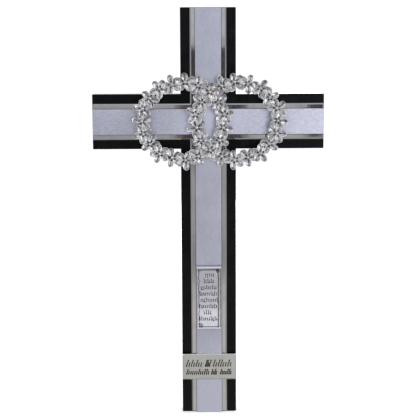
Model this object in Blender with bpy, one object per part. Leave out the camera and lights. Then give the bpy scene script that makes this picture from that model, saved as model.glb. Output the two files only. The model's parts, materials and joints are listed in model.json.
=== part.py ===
"""Wall-hung wedding cross: a black lacquered board faced with two metal crosses, two linked
flower wreaths on the crossing, a scroll-shaped verse plaque and an engraved name plate.

X runs to the right, Z up, and the front looks towards -Y. The origin is on the flat back,
behind the centre of the crossing, where the cross lies against the wall."""

import math
import random

import bmesh
import bpy
from mathutils import Matrix, Vector

# Overall cross
HEIGHT = 0.400
SPAN = 0.224
CROSSBAR_DROP = 0.109  # top end down to the crossbar's centre line
UPRIGHT_W = 0.0535
CROSSBAR_W = 0.0530
BOARD_T = 0.0150
BOARD_ARRIS = 0.0005
SEAT_GAP = 0.0003  # left between two pieces that lie on each other

# Polished plate and satin panel, both crosses laid on the board
PLATE_UPRIGHT_W = 0.0350
PLATE_CROSSBAR_W = 0.0346
PLATE_T = 0.0016
PLATE_LIP = 0.0012
PLATE_END_GAP = 0.0003
PANEL_UPRIGHT_W = 0.0250
PANEL_CROSSBAR_W = 0.0246
PANEL_T = 0.0010
PANEL_ARRIS = 0.0002
PANEL_END_GAP = 0.0004

# Keyhole slot in the back, for a screw with a head up to 8 mm wide
KEYHOLE_RISE = 0.0660  # above the crossbar's centre line
KEYHOLE_MOUTH_W = 0.0104
KEYHOLE_MOUTH_DEPTH = 0.0092
KEYHOLE_CHANNEL_W = 0.0096
KEYHOLE_CHANNEL_DEPTH = 0.0088
KEYHOLE_NECK_W = 0.0050
KEYHOLE_TRAVEL = 0.0120
KEYHOLE_LIP_T = 0.0030
KEYHOLE_STEPS = 10  # sides on each half round

# Two linked flower wreaths
RING_SHIFT = 0.0015  # the wreath's middle, to the right of the upright's centre line
RING_OFFSET = 0.0260  # each ring's centre from the wreath's middle
RING_RISE = 0.0010  # above the crossbar's centre line
RING_HALF_W = 0.0399
RING_HALF_H = 0.0370
RING_TUBE = 0.0038
RING_STEPS = 24
RING_OVER = 0.0003  # the right ring's tube crosses this much in front of the left one's
OUTER_FLOWERS = 13
INNER_FLOWERS = 4
FLOWER_KINDS = 3
FLOWER_R = 0.0099
FLOWER_STAND = 0.0009  # flower's middle in front of the ring tube
FLOWER_STAGGER = 0.0007
FLOWER_TILT = 17.0
FLOWER_TURN = 16.0
OVERLAP_LIFT = 0.0008  # every second flower stands this much further forward
CROSSING_LIFT = 0.0012
PETALS = 5
PETAL_RISE = 0.0024  # petal's rim in front of the flower's middle
PETAL_VARY = 0.3
PETAL_NOTCH = 0.0049  # radius at the cut between two petals
BEAD_R = 0.0016
BEAD_BASE = 0.0014
BEAD_TOP = 0.0028
STEM_R = 0.0018
STEM_DROP = 0.0012
FOOT_DROP = 0.0030
REACH_RANGE = (0.93, 1.03)  # shares of FLOWER_R between which the petals' lengths lie
FLOWER_RINGS = 5
# By ring of the flower's ball: radius and height of the bead's top and foot, the stem's head and its tip
BEAD_AND_STEM = {0: (0.0, BEAD_TOP), 1: (BEAD_R, BEAD_BASE), 4: (STEM_R, -STEM_DROP), 5: (0.0, -FOOT_DROP)}
# By ring, in a notch, at a petal's shoulder and along its crest: shares of the radius and the rise there
PETAL_SHARES = {
    2: {-1: (0.60, 0.20), 0: (0.52, 0.45), 1: (0.58, 0.30)},
    3: {-1: (1.00, 0.35), 0: (0.90, 1.00), 1: (1.00, 0.90)},
}
WREATH_SEED = 14

# Verse plaque, a scroll-shaped tablet
VERSE_W = 0.0236
VERSE_H = 0.0640
VERSE_T = 0.0022
VERSE_RIM = 0.0016
VERSE_RIM_DEPTH = 0.0007
VERSE_RISE = 0.1176  # centre above the foot of the cross
VERSE_TOP_ROLL = 0.0034
VERSE_FOOT_ROLL = 0.0026
VERSE_ROLL_END = 0.0003
VERSE_CURL = 0.0046
VERSE_CURL_FACE = 0.0040  # across the flat of the coiled corner
VERSE_CURL_RISE = 0.0005
VERSE_CURL_INSET = 0.0030
VERSE_CURL_DROP = 0.0014  # its middle from the roll beside it
VERSE_ROUND_SIDES = 12
VERSE_TEAR = 0.0014
VERSE_TEAR_DEPTH = 0.0011
VERSE_TEAR_DROP = 0.0150  # below the plaque's top
VERSE_ROW_DROP = 0.0095
VERSE_ROW_PITCH = 0.0063
# Each row's left and right end from the plaque's middle
VERSE_ROWS = ((-0.0033, 0.0042), (-0.0047, 0.0042), (-0.0078, 0.0067), (-0.0089, 0.0072),
              (-0.0080, 0.0078), (-0.0088, 0.0072), (-0.0050, 0.0011), (-0.0088, 0.0075))
VERSE_STROKE_H = 0.0027
VERSE_SHORT_STROKE = 0.0018
VERSE_STROKE_W = 0.0007
VERSE_STROKE_PITCH = 0.0021
VERSE_STROKE_SLANT = 8.0
VERSE_STROKE_DEPTH = 0.0004

# Name plate, as wide as the board
NAME_H = 0.0259
NAME_T = 0.0018
NAME_BEVEL = 0.0008
NAME_RISE = 0.0475  # centre above the foot of the cross
# Each row's groups of strokes by their left and right ends, its foot over the plate's middle, its height
NAME_ROWS = (
    (((-0.0222, -0.0070), (-0.0040, 0.0013), (0.0040, 0.0218)), 0.0004, 0.0056),
    (((-0.0222, -0.0003), (0.0022, 0.0074), (0.0108, 0.0216)), -0.0075, 0.0042),
)
NAME_SHORT_STROKE = 0.6  # share of the row's height
NAME_STROKE_W = 0.0009
NAME_STROKE_PITCH = 0.0027
NAME_STROKE_SLANT = 24.0
NAME_STROKE_DEPTH = 0.0004

ROUND_EDGE = 45.0  # edges that turn by less than this, in degrees, aren't chamfered
CUT_OVER = 0.0010  # how far a cutter stands out of the face that it cuts
MERGE = 0.000001
SLIVER = 0.000003  # cuts between petals shorter than this are closed up

# Where each layer lies, counted forwards from the wall
Z_TOP = CROSSBAR_DROP
Z_FOOT = CROSSBAR_DROP - HEIGHT
PLATE_BACK = -(BOARD_T + SEAT_GAP)
PANEL_BACK = PLATE_BACK - PLATE_T - SEAT_GAP
ORNAMENT_BACK = PANEL_BACK - PANEL_T - SEAT_GAP


def clear_scene():
    """Start from an empty scene with one collection for the parts and one for the cutters."""
    for obj in list(bpy.data.objects):
        bpy.data.objects.remove(obj, do_unlink=True)
    made = []
    for name in ("wedding_cross", "cutters"):
        collection = bpy.data.collections.new(name)
        bpy.context.scene.collection.children.link(collection)
        made.append(collection)
    return made


def material(name, colour, roughness, metallic):
    """Principled material for one piece."""
    mat = bpy.data.materials.new(name)
    mat.use_nodes = True
    shader = mat.node_tree.nodes["Principled BSDF"]
    shader.inputs["Base Color"].default_value = (*colour, 1.0)
    shader.inputs["Roughness"].default_value = roughness
    shader.inputs["Metallic"].default_value = metallic
    return mat


def mesh_object(name, mesh, collection, location=(0.0, 0.0, 0.0)):
    """Object on a mesh, linked to its collection and placed."""
    obj = bpy.data.objects.new(name, mesh)
    collection.objects.link(obj)
    obj.location = location
    return obj


def mesh_from(bm, name):
    """Mesh made from a bmesh, which is freed."""
    mesh = bpy.data.meshes.new(name)
    bm.to_mesh(mesh)
    bm.free()
    return mesh


def evaluated_mesh(obj):
    """The object's mesh with its modifiers done."""
    bpy.context.view_layer.update()
    depsgraph = bpy.context.evaluated_depsgraph_get()
    return bpy.data.meshes.new_from_object(obj.evaluated_get(depsgraph))


def welded(mesh, distance):
    """Join points closer than the distance and turn every face outwards."""
    bm = bmesh.new()
    bm.from_mesh(mesh)
    bmesh.ops.remove_doubles(bm, verts=bm.verts, dist=distance)
    bmesh.ops.recalc_face_normals(bm, faces=bm.faces)
    bm.to_mesh(mesh)
    bm.free()
    return mesh


def outline_mesh(name, points, thickness):
    """Flat outline in X and Z, with its back at Y 0 and its front at minus the thickness.

    The back and the front are one face each, so that a bevel finds no seam in them."""
    curve = bpy.data.curves.new(name, "CURVE")
    curve.dimensions = "2D"
    curve.fill_mode = "BOTH"
    curve.extrude = thickness / 2
    spline = curve.splines.new("POLY")
    spline.points.add(len(points) - 1)
    for point, (x, z) in zip(spline.points, points):
        point.co = (x, z, 0.0, 1.0)
    spline.use_cyclic_u = True
    drawn = mesh_object(name, curve, bpy.context.scene.collection)
    mesh = evaluated_mesh(drawn)
    bpy.data.objects.remove(drawn)
    upright = Matrix.Rotation(math.radians(90), 4, "X")
    mesh.transform(Matrix.Translation((0.0, -thickness / 2, 0.0)) @ upright)
    bm = bmesh.new()
    bm.from_mesh(mesh)
    bmesh.ops.remove_doubles(bm, verts=bm.verts, dist=MERGE)
    flat = [face for face in bm.faces if len({round(vert.co.y / MERGE) for vert in face.verts}) == 1]
    bmesh.ops.delete(bm, geom=flat, context="FACES")
    bmesh.ops.edgeloop_fill(bm, edges=[edge for edge in bm.edges if edge.is_boundary])
    bmesh.ops.recalc_face_normals(bm, faces=bm.faces)
    bm.to_mesh(mesh)
    bm.free()
    return mesh


def bevelled(mesh, width, all_round=False):
    """Chamfer the rim of the front face, or every outward edge where all_round is set."""
    bm = bmesh.new()
    bm.from_mesh(mesh)
    front = min(vert.co.y for vert in bm.verts)
    sharp = math.radians(ROUND_EDGE)
    edges = [edge for edge in bm.edges if edge.is_convex and edge.calc_face_angle(0.0) > sharp]
    if not all_round:
        edges = [edge for edge in edges if all(abs(vert.co.y - front) < MERGE for vert in edge.verts)]
    bmesh.ops.bevel(bm, geom=edges, offset=width, segments=1, profile=0.5, affect="EDGES")
    bm.to_mesh(mesh)
    bm.free()
    return mesh


def rectangle(width, height, centre_z=0.0):
    """Corners of a rectangle centred on X 0."""
    x, z = width / 2, height / 2
    return [(-x, centre_z - z), (x, centre_z - z), (x, centre_z + z), (-x, centre_z + z)]


def cross_outline(upright_w, crossbar_w, end_gap):
    """The twelve corners of a cross whose four ends stop short of the board's by end_gap."""
    x, z = upright_w / 2, crossbar_w / 2
    tip = SPAN / 2 - end_gap
    top, foot = Z_TOP - end_gap, Z_FOOT + end_gap
    return [(-x, foot), (x, foot), (x, -z), (tip, -z), (tip, z), (x, z),
            (x, top), (-x, top), (-x, z), (-tip, z), (-tip, -z), (-x, -z)]


def slot_outline(radius, travel):
    """A slot with round ends, from the round at Z 0 up to the round at Z travel."""
    points = []
    for centre_z, start in ((travel, 0.0), (0.0, math.pi)):
        for step in range(KEYHOLE_STEPS + 1):
            angle = start + math.pi * step / KEYHOLE_STEPS
            points.append((radius * math.cos(angle), centre_z + radius * math.sin(angle)))
    return points


def as_cutter(obj):
    """Show a cutter as a wire only."""
    obj.hide_render = True
    obj.display_type = "WIRE"
    return obj


def boolean(obj, tool, operation):
    """Live Boolean of one object on another."""
    modifier = obj.modifiers.new(tool.name, "BOOLEAN")
    modifier.object = tool
    modifier.operation = operation
    modifier.solver = "EXACT"


def backing_board(parts, cutters):
    """Black lacquered board with a keyhole slot in its back."""
    mesh = outline_mesh("backing_board", cross_outline(UPRIGHT_W, CROSSBAR_W, 0.0), BOARD_T)
    board = mesh_object("backing_board", bevelled(mesh, BOARD_ARRIS, all_round=True), parts)
    cuts = (
        ("keyhole_mouth", KEYHOLE_MOUTH_W, 0.0, -KEYHOLE_MOUTH_DEPTH, CUT_OVER),
        ("keyhole_neck", KEYHOLE_NECK_W, KEYHOLE_TRAVEL, -KEYHOLE_LIP_T - CUT_OVER, CUT_OVER),
        ("keyhole_channel", KEYHOLE_CHANNEL_W, KEYHOLE_TRAVEL, -KEYHOLE_CHANNEL_DEPTH, -KEYHOLE_LIP_T),
    )
    for name, width, travel, front, back in cuts:
        slot = outline_mesh(name, slot_outline(width / 2, travel), back - front)
        cutter = mesh_object(name, slot, cutters, (0.0, back, KEYHOLE_RISE))
        boolean(board, as_cutter(cutter), "DIFFERENCE")
    return board


def polished_plate(parts):
    """Mirror-polished cross plate with a raised bright lip sloping to the board."""
    outline = cross_outline(PLATE_UPRIGHT_W, PLATE_CROSSBAR_W, PLATE_END_GAP)
    mesh = outline_mesh("polished_plate", outline, PLATE_T)
    return mesh_object("polished_plate", bevelled(mesh, PLATE_LIP), parts, (0.0, PLATE_BACK, 0.0))


def satin_panel(parts):
    """Satin metal cross laid on the polished plate."""
    outline = cross_outline(PANEL_UPRIGHT_W, PANEL_CROSSBAR_W, PANEL_END_GAP)
    mesh = outline_mesh("satin_panel", outline, PANEL_T)
    return mesh_object("satin_panel", bevelled(mesh, PANEL_ARRIS), parts, (0.0, PANEL_BACK, 0.0))


def flower_mesh(name, rng):
    """Five cupped petals round a bead on a short stem, facing +Z: a ball drawn out by a polar rule.

    The ball's rings become, from its top pole down, the bead's foot, the hollow of the petals,
    their rim and the stem's head."""
    bm = bmesh.new()
    bmesh.ops.create_uvsphere(bm, u_segments=4 * PETALS, v_segments=FLOWER_RINGS, radius=1.0)
    petal_turn = 2 * math.pi / PETALS
    reach = [FLOWER_R * rng.uniform(*REACH_RANGE) for _ in range(PETALS)]
    rise = [PETAL_RISE * rng.uniform(1 - PETAL_VARY, 1 + PETAL_VARY) for _ in range(PETALS)]
    for vert in bm.verts:
        angle = math.atan2(vert.co.y, vert.co.x)
        petal = round(angle / petal_turn) % PETALS
        ring = round(FLOWER_RINGS * math.acos(max(-1.0, min(1.0, vert.co.z))) / math.pi)
        crest = round(math.cos(PETALS * angle))  # 1 along a petal, 0 at its shoulders, -1 in a notch
        if ring in BEAD_AND_STEM:
            radius, height = BEAD_AND_STEM[ring]
            angle = petal * petal_turn
        else:
            out, up = PETAL_SHARES[ring][crest]
            radius = out * (PETAL_NOTCH if crest < 0 else reach[petal])
            height = up * (PETAL_RISE if crest < 0 else rise[petal])
        vert.co = Vector((radius * math.cos(angle), radius * math.sin(angle), height))
    bmesh.ops.remove_doubles(bm, verts=bm.verts, dist=MERGE)
    bmesh.ops.recalc_face_normals(bm, faces=bm.faces)
    return mesh_from(bm, name)


def ring_tube(name, centre_x, back):
    """Oval tube that carries one ring of flowers, its back at the given Y."""
    curve = bpy.data.curves.new(name, "CURVE")
    curve.dimensions = "3D"
    curve.bevel_depth = RING_TUBE / 2
    curve.bevel_resolution = 0
    spline = curve.splines.new("POLY")
    spline.points.add(RING_STEPS - 1)
    for step, point in enumerate(spline.points):
        angle = 2 * math.pi * step / RING_STEPS
        x = centre_x + RING_HALF_W * math.cos(angle)
        z = RING_RISE + RING_HALF_H * math.sin(angle)
        point.co = (x, back - RING_TUBE / 2, z, 1.0)
    spline.use_cyclic_u = True
    drawn = mesh_object(name, curve, bpy.context.scene.collection)
    mesh = evaluated_mesh(drawn)
    bpy.data.objects.remove(drawn)
    return welded(mesh, MERGE)


def flower_places():
    """For each flower its X and Z, the direction out of its ring, its lift and its lean's sign.

    The rings share one flower at each of their two crossings."""
    crossing = math.acos(RING_OFFSET / RING_HALF_W)
    places = []
    for side in (-1, 1):
        open_turn = 2 * math.pi - 2 * crossing
        angles = [crossing + open_turn * step / (OUTER_FLOWERS + 1) for step in range(1, OUTER_FLOWERS + 1)]
        angles += [-crossing + 2 * crossing * step / (INNER_FLOWERS + 1)
                   for step in range(1, INNER_FLOWERS + 1)]
        for count, angle in enumerate(angles):
            out = Vector((-side * math.cos(angle), 0.0, math.sin(angle)))
            sway = 1 if count % 2 else -1
            x = RING_SHIFT + side * RING_OFFSET + out.x * (RING_HALF_W + sway * FLOWER_STAGGER)
            z = RING_RISE + out.z * (RING_HALF_H + sway * FLOWER_STAGGER)
            places.append((x, z, out, (sway + 1) / 2 * OVERLAP_LIFT, sway))
    for end in (-1, 1):
        z = RING_RISE + end * RING_HALF_H * math.sin(crossing)
        places.append((RING_SHIFT, z, Vector((0.0, 0.0, end)), CROSSING_LIFT, end))
    return places


def flower_wreath(parts):
    """Two linked rings of five-petalled flowers, cast as one ornament.

    Each flower turns one petal out of its ring, and every second one stands a little forward."""
    rng = random.Random(WREATH_SEED)
    kinds = [flower_mesh(f"flower_kind_{kind}", rng) for kind in range(FLOWER_KINDS)]
    bodies = bpy.data.collections.new("wreath_bodies")
    bpy.context.scene.collection.children.link(bodies)
    wreath = mesh_object("flower_wreath", ring_tube("ring_left", RING_SHIFT - RING_OFFSET, 0.0), parts)
    mesh_object("ring_right", ring_tube("ring_right", RING_SHIFT + RING_OFFSET, -RING_OVER), bodies)
    face_front = Matrix.Rotation(math.radians(90), 4, "X")
    for count, (x, z, out, lift, sway) in enumerate(flower_places()):
        flower = mesh_object(f"flower_{count}", kinds[count % FLOWER_KINDS], bodies)
        outwards = math.atan2(out.z, out.x) + math.radians(rng.uniform(-FLOWER_TURN, FLOWER_TURN))
        turn = Matrix.Rotation(outwards, 4, "Z")
        lean_axis = Vector((out.z, 0.0, -out.x)) * sway
        lean = Matrix.Rotation(math.radians(rng.uniform(0, FLOWER_TILT)), 4, lean_axis)
        place = Matrix.Translation((x, -(RING_TUBE + FLOWER_STAND + lift), z))
        flower.matrix_world = place @ lean @ face_front @ turn
    union = wreath.modifiers.new("cast as one", "BOOLEAN")
    union.operation = "UNION"
    union.operand_type = "COLLECTION"
    union.collection = bodies
    union.solver = "EXACT"
    mesh = evaluated_mesh(wreath)
    wreath.modifiers.clear()
    wreath.data = welded(mesh, SLIVER)
    wreath.location = (0.0, ORNAMENT_BACK, 0.0)
    for body in list(bodies.objects):
        bpy.data.objects.remove(body)
    bpy.data.collections.remove(bodies)
    return wreath


def stroke(bm, x, z, height, width, slant, depth):
    """One slanted groove: a block that stands out of the front face by CUT_OVER."""
    lean = Matrix.Rotation(math.radians(slant), 4, "Y")
    size = Matrix.Diagonal((width, depth + CUT_OVER, height, 1.0))
    place = Matrix.Translation((x, (depth - CUT_OVER) / 2, z))
    bmesh.ops.create_cube(bm, size=1.0, matrix=place @ lean @ size)


def verse_strokes(bm):
    """Eight rows of short strokes, each row as wide as its line of the verse."""
    for row, (start, end) in enumerate(VERSE_ROWS):
        z = VERSE_H / 2 - VERSE_ROW_DROP - row * VERSE_ROW_PITCH
        steps = max(1, round((end - start) / VERSE_STROKE_PITCH))
        for step in range(steps + 1):
            x = start + (end - start) * step / steps
            height = VERSE_SHORT_STROKE if (step * 2 + row) % 3 else VERSE_STROKE_H
            stroke(bm, x, z + height / 2, height, VERSE_STROKE_W, VERSE_STROKE_SLANT, VERSE_STROKE_DEPTH)


def name_strokes(bm):
    """Two rows of slanted strokes in groups, tall at both ends of a group."""
    for groups, foot, tallest in NAME_ROWS:
        for start, end in groups:
            steps = max(1, round((end - start) / NAME_STROKE_PITCH))
            for step in range(steps + 1):
                x = start + (end - start) * step / steps
                height = tallest * (NAME_SHORT_STROKE if 0 < step < steps else 1.0)
                stroke(bm, x, foot + height / 2, height, NAME_STROKE_W, NAME_STROKE_SLANT, NAME_STROKE_DEPTH)


def roll(name, width, z, scratch):
    """Rolled edge of the scroll, a rod along X lying on the plaque's back plane."""
    bm = bmesh.new()
    along = Matrix.Rotation(math.radians(90), 4, "Y")
    bmesh.ops.create_cone(bm, cap_ends=True, segments=VERSE_ROUND_SIDES, radius1=width / 2,
                          radius2=width / 2, depth=VERSE_W + 2 * VERSE_ROLL_END, matrix=along)
    return mesh_object(name, mesh_from(bm, name), scratch, (0.0, -width / 2, z))


def curl(name, x, z, scratch):
    """Coiled corner of the scroll, a low round boss with a dished face."""
    height = VERSE_T + VERSE_CURL_RISE
    bm = bmesh.new()
    facing = Matrix.Rotation(math.radians(90), 4, "X")
    made = bmesh.ops.create_cone(bm, cap_ends=True, cap_tris=True, segments=VERSE_ROUND_SIDES,
                                 radius1=VERSE_CURL / 2, radius2=VERSE_CURL_FACE / 2, depth=height,
                                 matrix=facing)["verts"]
    front = min(vert.co.y for vert in made)
    for vert in made:
        if abs(vert.co.y - front) < MERGE and math.hypot(vert.co.x, vert.co.z) < MERGE:
            vert.co.y += VERSE_CURL_RISE
    return mesh_object(name, mesh_from(bm, name), scratch, (x, -height / 2 - MERGE, z))


def verse_plaque(parts, cutters):
    """Cast scroll tablet: raised rim, rolled head and foot, two coiled corners, a torn notch."""
    half_w, half_h = VERSE_W / 2, VERSE_H / 2
    tear_z = half_h - VERSE_TEAR_DROP
    head_z = half_h - VERSE_TOP_ROLL / 2
    foot_z = -half_h + VERSE_FOOT_ROLL / 2
    tear_x = -half_w + VERSE_TEAR_DEPTH
    tear = [(-half_w, tear_z + VERSE_TEAR), (tear_x, tear_z), (-half_w, tear_z - VERSE_TEAR)]
    outline = [(-half_w, foot_z), (half_w, foot_z), (half_w, head_z), (-half_w, head_z), *tear]
    mesh = outline_mesh("verse_plaque", outline, VERSE_T)
    plaque = mesh_object("verse_plaque", mesh, parts, (0.0, ORNAMENT_BACK, Z_FOOT + VERSE_RISE))
    field_top = half_h - VERSE_TOP_ROLL
    field_foot = -half_h + VERSE_FOOT_ROLL
    field = rectangle(VERSE_W - 2 * VERSE_RIM, field_top - field_foot, (field_top + field_foot) / 2)
    field_cut = outline_mesh("verse_field", field, VERSE_RIM_DEPTH + CUT_OVER)
    field_front = (0.0, -VERSE_T + VERSE_RIM_DEPTH, 0.0)
    curl_x = half_w - VERSE_CURL_INSET
    bm = bmesh.new()
    verse_strokes(bm)
    tools = (
        (mesh_object("verse_field", field_cut, cutters, field_front), "DIFFERENCE"),
        (roll("verse_head_roll", VERSE_TOP_ROLL, head_z, cutters), "UNION"),
        (roll("verse_foot_roll", VERSE_FOOT_ROLL, foot_z, cutters), "UNION"),
        (curl("verse_head_curl", curl_x, field_top - VERSE_CURL_DROP, cutters), "UNION"),
        (curl("verse_foot_curl", -curl_x, field_foot + VERSE_CURL_DROP, cutters), "UNION"),
        (mesh_object("verse_strokes", mesh_from(bm, "verse_strokes"), cutters, field_front), "DIFFERENCE"),
    )
    for tool, operation in tools:
        tool.parent = plaque
        boolean(plaque, as_cutter(tool), operation)
    return plaque


def name_plate(parts, cutters):
    """Bevelled metal plate across the board, with two rows of engraved strokes."""
    mesh = bevelled(outline_mesh("name_plate", rectangle(UPRIGHT_W, NAME_H), NAME_T), NAME_BEVEL)
    plate = mesh_object("name_plate", mesh, parts, (0.0, ORNAMENT_BACK, Z_FOOT + NAME_RISE))
    bm = bmesh.new()
    name_strokes(bm)
    strokes = mesh_object("name_strokes", mesh_from(bm, "name_strokes"), cutters, (0.0, -NAME_T, 0.0))
    strokes.parent = plate
    boolean(plate, as_cutter(strokes), "DIFFERENCE")
    return plate


def main():
    parts, cutters = clear_scene()
    black_lacquer = material("black_lacquer", (0.009, 0.009, 0.011), 0.28, 0.0)
    mirror_metal = material("mirror_metal", (0.62, 0.61, 0.59), 0.10, 1.0)
    satin_metal = material("satin_metal", (0.44, 0.45, 0.53), 0.38, 1.0)
    antique_silver = material("antique_silver", (0.55, 0.55, 0.54), 0.32, 1.0)
    engraved_metal = material("engraved_metal", (0.40, 0.38, 0.37), 0.34, 1.0)
    pieces = (
        (backing_board(parts, cutters), black_lacquer),
        (polished_plate(parts), mirror_metal),
        (satin_panel(parts), satin_metal),
        (flower_wreath(parts), antique_silver),
        (verse_plaque(parts, cutters), antique_silver),
        (name_plate(parts, cutters), engraved_metal),
    )
    root = bpy.data.objects.new("wedding_cross_origin", None)
    parts.objects.link(root)
    for piece, mat in pieces:
        piece.parent = root
        piece.data.materials.clear()
        piece.data.materials.append(mat)


main()
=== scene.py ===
"""Looks of a wall-hung wedding cross, laid out as a Blender add-on and run as a script.

X runs to the right, Z up, and the front of the cross looks towards -Y. Lengths are in metres."""

import json
import math
import random

import bmesh
import bpy
import numpy as np
from bpy.props import FloatProperty, FloatVectorProperty, IntProperty, PointerProperty
from mathutils import Matrix, Vector, noise

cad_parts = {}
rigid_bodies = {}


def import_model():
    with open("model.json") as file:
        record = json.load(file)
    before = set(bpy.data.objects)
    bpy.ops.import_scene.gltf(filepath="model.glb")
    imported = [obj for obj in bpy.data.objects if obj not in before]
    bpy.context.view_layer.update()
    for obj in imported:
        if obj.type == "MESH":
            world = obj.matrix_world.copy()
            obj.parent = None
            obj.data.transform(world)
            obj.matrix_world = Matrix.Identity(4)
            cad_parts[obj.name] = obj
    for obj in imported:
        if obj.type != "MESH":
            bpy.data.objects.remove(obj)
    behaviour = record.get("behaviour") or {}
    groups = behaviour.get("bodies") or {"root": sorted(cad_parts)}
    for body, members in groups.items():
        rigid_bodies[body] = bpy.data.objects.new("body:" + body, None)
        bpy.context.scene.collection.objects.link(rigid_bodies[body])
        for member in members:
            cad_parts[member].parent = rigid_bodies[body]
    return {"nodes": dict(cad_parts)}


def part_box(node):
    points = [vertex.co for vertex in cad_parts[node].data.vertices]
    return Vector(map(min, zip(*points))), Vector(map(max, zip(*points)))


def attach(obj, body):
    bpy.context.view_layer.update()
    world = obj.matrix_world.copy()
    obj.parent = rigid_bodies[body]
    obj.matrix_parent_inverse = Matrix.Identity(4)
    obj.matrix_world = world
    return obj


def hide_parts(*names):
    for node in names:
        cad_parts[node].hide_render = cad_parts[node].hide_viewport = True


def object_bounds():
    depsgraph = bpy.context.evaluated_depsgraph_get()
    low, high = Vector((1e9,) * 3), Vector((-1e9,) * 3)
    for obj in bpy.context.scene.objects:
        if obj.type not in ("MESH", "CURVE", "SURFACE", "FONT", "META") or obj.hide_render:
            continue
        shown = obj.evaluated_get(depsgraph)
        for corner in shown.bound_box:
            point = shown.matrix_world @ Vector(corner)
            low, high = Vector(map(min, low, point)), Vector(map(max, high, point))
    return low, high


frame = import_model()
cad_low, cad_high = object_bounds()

bl_info = {
    "name": "Wedding Cross",
    "version": (1, 0, 0),
    "blender": (4, 5, 0),
    "location": "View3D > Sidebar > Cross",
    "description": "Finishes, flower wreath and plaques of a wall-hung wedding cross",
    "category": "Add Mesh",
}

MM = 0.001
TURN = 2 * math.pi
QUARTER = math.radians(90)

# Each piece's box in the frame
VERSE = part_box("verse_plaque")
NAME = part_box("name_plate")
ORNAMENT_BACK = VERSE[1].y  # the ornaments' backs lie in one plane
PLATE_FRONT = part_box("polished_plate")[0].y
PANEL_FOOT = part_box("satin_panel")[0].z
PANEL_HALF_W = 12.5 * MM  # half widths of the satin cross's upright and crossbar
PANEL_HALF_H = 12.3 * MM

# Flower: a petal's section from the middle of its cup, over its lip, to the middle of its underside.
# Each pair is the share of the petal's outline and the height over the cupped middle surface, in mm.
PETAL_SECTION = ((0.0, 0.0), (0.3, 0.0), (0.55, 0.0), (0.76, 0.04), (0.85, 0.34), (0.92, 0.50),
                 (0.98, 0.36), (1.0, 0.02), (0.95, -0.30), (0.80, -0.42), (0.45, -0.55), (0.0, -0.62))
PETAL_SIDES = 20
PETAL_MIDDLE = 6.0 * MM
PETAL_FOOT = 1.2 * MM
PETAL_HALF_W = 3.35 * MM
PETAL_LIFT = 0.4 * MM
PETAL_CREASE_WIDTH = 0.40 * MM
PETAL_CREASE_DEPTH = 0.20 * MM
# Bead and stem: radius and height in mm and the recess value, from the top pole to the bottom pole
BEAD_PROFILE = ((0.0, 3.05, 0.52), (0.75, 2.93, 0.40), (1.38, 2.52, 0.42), (1.70, 1.95, 0.60),
                (1.72, 1.40, 0.80), (1.45, 0.90, 0.9), (0.90, 0.55, 1.0), (0.0, 0.45, 1.0))
STEM_PROFILE = ((0.0, 0.75, 1.0), (1.7, 0.70, 1.0), (2.3, 0.35, 0.9), (2.1, -0.35, 0.7), (1.5, -1.20, 0.6),
                (1.1, -2.40, 0.6), (0.9, -3.10, 0.7), (0.0, -3.20, 0.7))

# Verse plaque: each row's left and right end from the plaque's middle, in mm
VERSE_ROWS = ((-3.3, 4.2), (-4.7, 4.2), (-7.8, 6.7), (-8.9, 7.2), (-8.0, 7.8), (-9.2, 7.2), (-5.0, 1.1),
              (-9.2, 7.5))
CURL_RADIUS = 1.9 * MM  # coils in the plaque's corners
CURL_TURNS = 1.35
CURL_STEPS = 60
# Name plate: each row's groups of strokes as left and right ends in mm, its baseline and its stroke height
NAME_ROWS = (
    (((-23.0, -6.6), (-4.3, 2.0), (3.6, 22.6)), 0.5, 6.3),
    (((-22.8, 0.2), (1.8, 8.0), (10.6, 22.4)), -7.6, 4.9),
)

# Stage: each light's place and size, and each flag's lower left and upper right corner, Y and colour
LIGHT_TARGET = Vector((0.0, 0.0, -0.05))
KEY_LIGHT = ((0.88, -1.15, -0.06), 1.20)
FILL_LIGHT = ((-1.20, -0.80, 0.20), 0.90)
BACK_LIGHT = ((0.50, 1.40, -0.02), 0.90)
FLAGS = {
    "dark_flag": ((-0.036, -0.165), (0.095, 0.078), -1.16, (0.048, 0.043, 0.045)),
    "warm_flag": ((-0.052, -0.165), (-0.036, 0.078), -1.16, (0.17, 0.10, 0.095)),
    "side_flag": ((0.207, -0.1045), (0.300, 0.050), -1.10, (0.022, 0.019, 0.026)),
}
WHITE = (1.0, 1.0, 1.0)


def place_data(name, data):
    """Object on a mesh, a light or a camera, at the origin."""
    obj = bpy.data.objects.new(name, data)
    bpy.context.scene.collection.objects.link(obj)
    return obj


def mesh_from(bm, name, smooth_angle=None):
    """Mesh from a bmesh, smooth where its faces meet at less than the angle in degrees."""
    if smooth_angle is not None:
        for face in bm.faces:
            face.smooth = True
        for edge in bm.edges:
            edge.smooth = edge.calc_face_angle(0.0) < math.radians(smooth_angle)
    mesh = bpy.data.meshes.new(name)
    bm.to_mesh(mesh)
    bm.free()
    return mesh


def solid_copy(obj, name):
    """Plain mesh object of an object with its modifiers done; the object itself is removed."""
    bpy.context.view_layer.update()
    depsgraph = bpy.context.evaluated_depsgraph_get()
    mesh = bpy.data.meshes.new_from_object(obj.evaluated_get(depsgraph))
    mesh.name = name
    bpy.data.objects.remove(obj, do_unlink=True)
    return place_data(name, mesh)


def settle(obj, node):
    """The piece hangs on the cross in place of its CAD node."""
    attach(obj, "root")
    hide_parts(node)


def smooth_step(value):
    """0 below 0, 1 above 1 and an easy curve between."""
    value = np.clip(value, 0.0, 1.0)
    return value * value * (3.0 - 2.0 * value)


def half_round(distance, middle, half_width):
    """1 on the middle line, falling as a half circle to 0 at half_width from it."""
    return np.sqrt(np.clip(1.0 - ((distance - middle) / half_width) ** 2, 0.0, 1.0))


@np.vectorize
def waver(x, y, z):
    """Smooth noise between -1 and 1 at each point."""
    return noise.noise(Vector((x, y, z)))


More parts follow.
